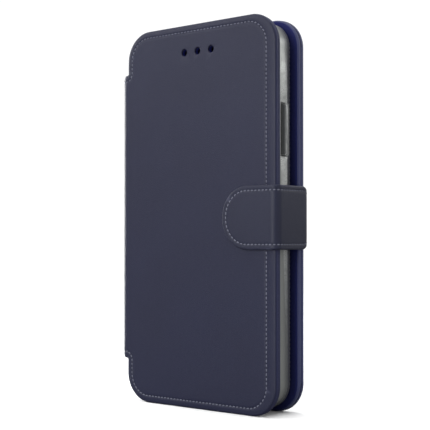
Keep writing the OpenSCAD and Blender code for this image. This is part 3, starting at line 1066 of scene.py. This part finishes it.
SEAM_IN, SEAM_UP = 1 * MM, 2 * MM
SHORT_SEAM = 4.4 * MM
pocket_rows = []
for number, (lo, hi) in enumerate(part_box("card_slot_%d" % n) for n in (1, 2, 3)):
    length = SHORT_SEAM if number < 2 else hi.x - lo.x - 4 * MM
    for z in (lo.z + SEAM_UP, hi.z - SEAM_UP):
        seam = walk([line((lo.x + SEAM_IN, z), (lo.x + SEAM_IN + length, z))])
        points, faces = stitch_row(spaced(seam, STITCH_PITCH), -2 * TINY, size=POCKET_STITCH)
        pocket_rows.append((points * [1, -1, 1] + [0, hi.y, 0], faces))
pocket_thread = thread_piece("pocket_stitches", pocket_rows, lambda p: p)
finish(pocket_thread, "front_cover", THREAD, ("pocket_stitching",), THREAD_ANGLE)

# ---------- strap ----------

SIDE_MID = (TAB_LO.y + ROOT_HI.y) / 2
ROOT_OUTER = FRONT + BACK - ROOT_HI.y
ROOT_MID = FRONT + BACK - SIDE_MID


def strap_places(tip, tip_r, outer_y, mid_y):
    """Stitch line of one end of the strap, from the middle of its side round the tip and back."""
    end = strap_seam(outer_y, mid_y)
    high = STRAP_MID + STRAP_HALF - STRAP_STITCH
    low = STRAP_MID - STRAP_HALF + STRAP_STITCH
    r, cx = tip_r - STRAP_STITCH, tip + tip_r
    cz = STRAP_HALF - tip_r
    return spaced(walk([
        line((end, high), (cx, high)),
        arc((cx, STRAP_MID + cz), r, 90, 180),
        line((tip + STRAP_STITCH, STRAP_MID + cz), (tip + STRAP_STITCH, STRAP_MID - cz)),
        arc((cx, STRAP_MID - cz), r, 180, 270),
        line((cx, low), (end, low)),
    ]), STITCH_PITCH)


tab_skin = strap_leather("strap_tab_leather", TAB_LO.x, TAB_TIP_R, TAB_LO.y, SIDE_MID)
finish(tab_skin, None, STRAP_LEATHER_PAINTED_LIGHTER,
       ("tab_leather", "strap_front_bend", "strap_side_leather"))
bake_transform(tab_skin)
tab_lining = strap_lining("strap_tab_lining", TAB_LO.x, TAB_TIP_R, TAB_LO.y, SIDE_MID)
finish(tab_lining, None, LINING, ("tab_lining", "strap_side_lining"))
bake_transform(tab_lining)
tab_row = stitch_row(strap_places(TAB_LO.x, TAB_TIP_R, TAB_LO.y, SIDE_MID),
                     TAB_LO.y + STRAP_THREAD_SUNK)
tab_thread = thread_piece("strap_tab_stitches", [tab_row], strap_rule(TAB_LO.y))
finish(tab_thread, None, THREAD, ("tab_stitching", "strap_side_stitching"),
       THREAD_ANGLE)
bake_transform(tab_thread)

root_skin = strap_leather("strap_root_leather", ROOT_LO.x, ROOT_TIP_R, ROOT_OUTER, ROOT_MID,
                          SHOULDER)
mirror_back(root_skin)
finish(root_skin, None, STRAP_LEATHER_PAINTED_LIGHTER, ("strap_root",))
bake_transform(root_skin)
root_lining = strap_lining("strap_root_lining", ROOT_LO.x, ROOT_TIP_R, ROOT_OUTER, ROOT_MID,
                           SHOULDER)
mirror_back(root_lining)
finish(root_lining, None, LINING)
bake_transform(root_lining)
root_row = stitch_row(strap_places(ROOT_LO.x, ROOT_TIP_R, ROOT_OUTER, ROOT_MID),
                      ROOT_OUTER + STRAP_THREAD_SUNK)
root_thread = thread_piece("strap_root_stitches", [root_row],
                           lambda p: to_back(strap_rule(ROOT_OUTER, SHOULDER)(p)))
finish(root_thread, None, THREAD, ("strap_root_stitching",), THREAD_ANGLE)
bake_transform(root_thread)

# ---------- tray ----------

RIM_ROUND = 1.3 * MM


def round_front_rim(piece):
    """Full round along the front outer edge of the tray's wall."""
    pick(piece, "edges", lambda e, at: all(
        abs(v.co.y - TRAY_LO.y) < TINY and inset_of(v.co, TRAY_LO, TRAY_HI, TRAY_R) < 0.05 * MM
        for v in e.verts))
    bpy.ops.mesh.bevel(offset=RIM_ROUND, offset_type="OFFSET", segments=6, affect="EDGES")
    done()


band = softened("tray_silver_band", ["tray_frame"], 0.2 * MM, 3, before=round_front_rim)
finish(band, "back_cover", SILVER, ("tray_frame",))
base = softened("tray_base_plate", ["tray_base"], 0.25 * MM)
finish(base, "back_cover", CHARCOAL, ("tray_base",), 20)
bezel = softened("camera_window_ring", ["camera_bezel"], 0.2 * MM, 3)
finish(bezel, "back_cover", KEY_SILVER, ("camera_bezel",))


def groove_key_face(piece):
    """Fine groove round the key's pressed face."""
    pick(piece, "faces", lambda f, at: f.normal.x > 0.9 and at.x > KEY_HI.x - 0.1 * MM)
    for inset, rise in ((0.2, 0), (0.02, -0.25), (0.3, 0), (0.02, 0.25)):
        step_in(inset * MM, rise * MM)
    done()


key = softened("side_key_cap", ["side_key"], 0.14 * MM, 3, before=groove_key_face)
finish(key, "key", KEY_SILVER, ("side_key",))

for node, material in {
    "front_board": BOARD, "back_board": BOARD, "spine_board": BOARD, "tab_board": BOARD,
    "back_foam": FELT, "keeper_plate": STEEL, "tab_magnets": STEEL, "adhesive_pad": RUBBER,
}.items():
    for material_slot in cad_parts[node].material_slots:
        material_slot.material = material

# ---------- floor, light and camera ----------

bpy.ops.object.select_all(action="DESELECT")
bpy.ops.mesh.primitive_plane_add(size=6, location=(0, 0, 0))
floor = bpy.context.object
floor.name = "floor"
floor_material, tree, where = new_material("pale_floor")
dust = add(tree, "TexNoise", Vector=where, Scale=3.0)
seen = add(tree, "LightPath").outputs["Is Camera Ray"]
pale = mixed(tree, seen, (0.26, 0.26, 0.26, 1.0), (0.95, 0.95, 0.95, 1.0))
close_material(tree, dust.outputs["Fac"], TINY, Base_Color=pale, Roughness=0.8)
floor.data.materials.append(floor_material)

world = bpy.data.worlds.new("studio")
bpy.context.scene.world = world
world.use_nodes = True
tree = world.node_tree
tree.nodes.clear()
way = add(tree, "TexCoord").outputs["Generated"]
rightness = add(tree, "VectorMath", {"operation": "DOT_PRODUCT"}, _0=way, _1=(0.95, -0.3, 0.0))
dimmer = spread(tree, rightness.outputs["Value"], -0.1, 0.95, 0.85, 0.4)
soft = add(tree, "Background", Color=(1, 1, 1, 1), Strength=dimmer)
plain = add(tree, "Background", Color=(1, 1, 1, 1), Strength=1.06)
seen = add(tree, "LightPath").outputs["Is Camera Ray"]
both = add(tree, "MixShader", _0=seen, _1=soft.outputs[0], _2=plain.outputs[0])
add(tree, "OutputWorld", Surface=both.outputs[0])
bpy.context.scene.view_settings.view_transform = "Standard"


def soft_light(name, at, size, power):
    """Rectangular light that faces the middle of the case."""
    data = bpy.data.lights.new(name, "AREA")
    data.shape = "RECTANGLE"
    data.size, data.size_y = size
    data.energy = power
    light = bpy.data.objects.new(name, data)
    light.location = at
    aim = Vector((0, 0, TOP / 2)) - Vector(at)
    light.rotation_euler = aim.to_track_quat("-Z", "Y").to_euler()
    bpy.context.scene.collection.objects.link(light)


soft_light("softbox_front_left", (-0.55, -0.7, 0.6), (0.5, 0.5), 3)
soft_light("softbox_front", (0.05, -1.0, 0.25), (0.3, 0.7), 8)
soft_light("softbox_back_right", (0.5, 0.62, 0.42), (0.3, 0.3), 1)
soft_light("softbox_right", (0.9, -0.1, 0.34), (0.3, 0.5), 1.3)
soft_light("strip_left", (-0.75, 0.05, 0.15), (0.15, 0.6), 7)
sun = bpy.data.lights.new("overhead", "SUN")
sun.energy = 1.4
sun.angle = math.radians(60)
overhead = bpy.data.objects.new("overhead", sun)
overhead.location = (0, 0, 2)
bpy.context.scene.collection.objects.link(overhead)

CAMERA_AT = (0.2571, -0.3128, 0.0648)
AZIMUTH, ELEVATION = math.radians(39.16), math.radians(0.72)
camera_data = bpy.data.cameras.new("camera")
camera_data.lens = 86.3
camera_data.sensor_width = 36
camera_data.shift_y = 0.03
camera = bpy.data.objects.new("camera", camera_data)
camera.location = CAMERA_AT
look = Vector((-math.sin(AZIMUTH) * math.cos(ELEVATION), math.cos(AZIMUTH) * math.cos(ELEVATION),
               math.sin(ELEVATION)))
camera.rotation_euler = look.to_track_quat("-Z", "Y").to_euler()
bpy.context.scene.collection.objects.link(camera)
bpy.context.scene.camera = camera

bpy.context.view_layer.update()
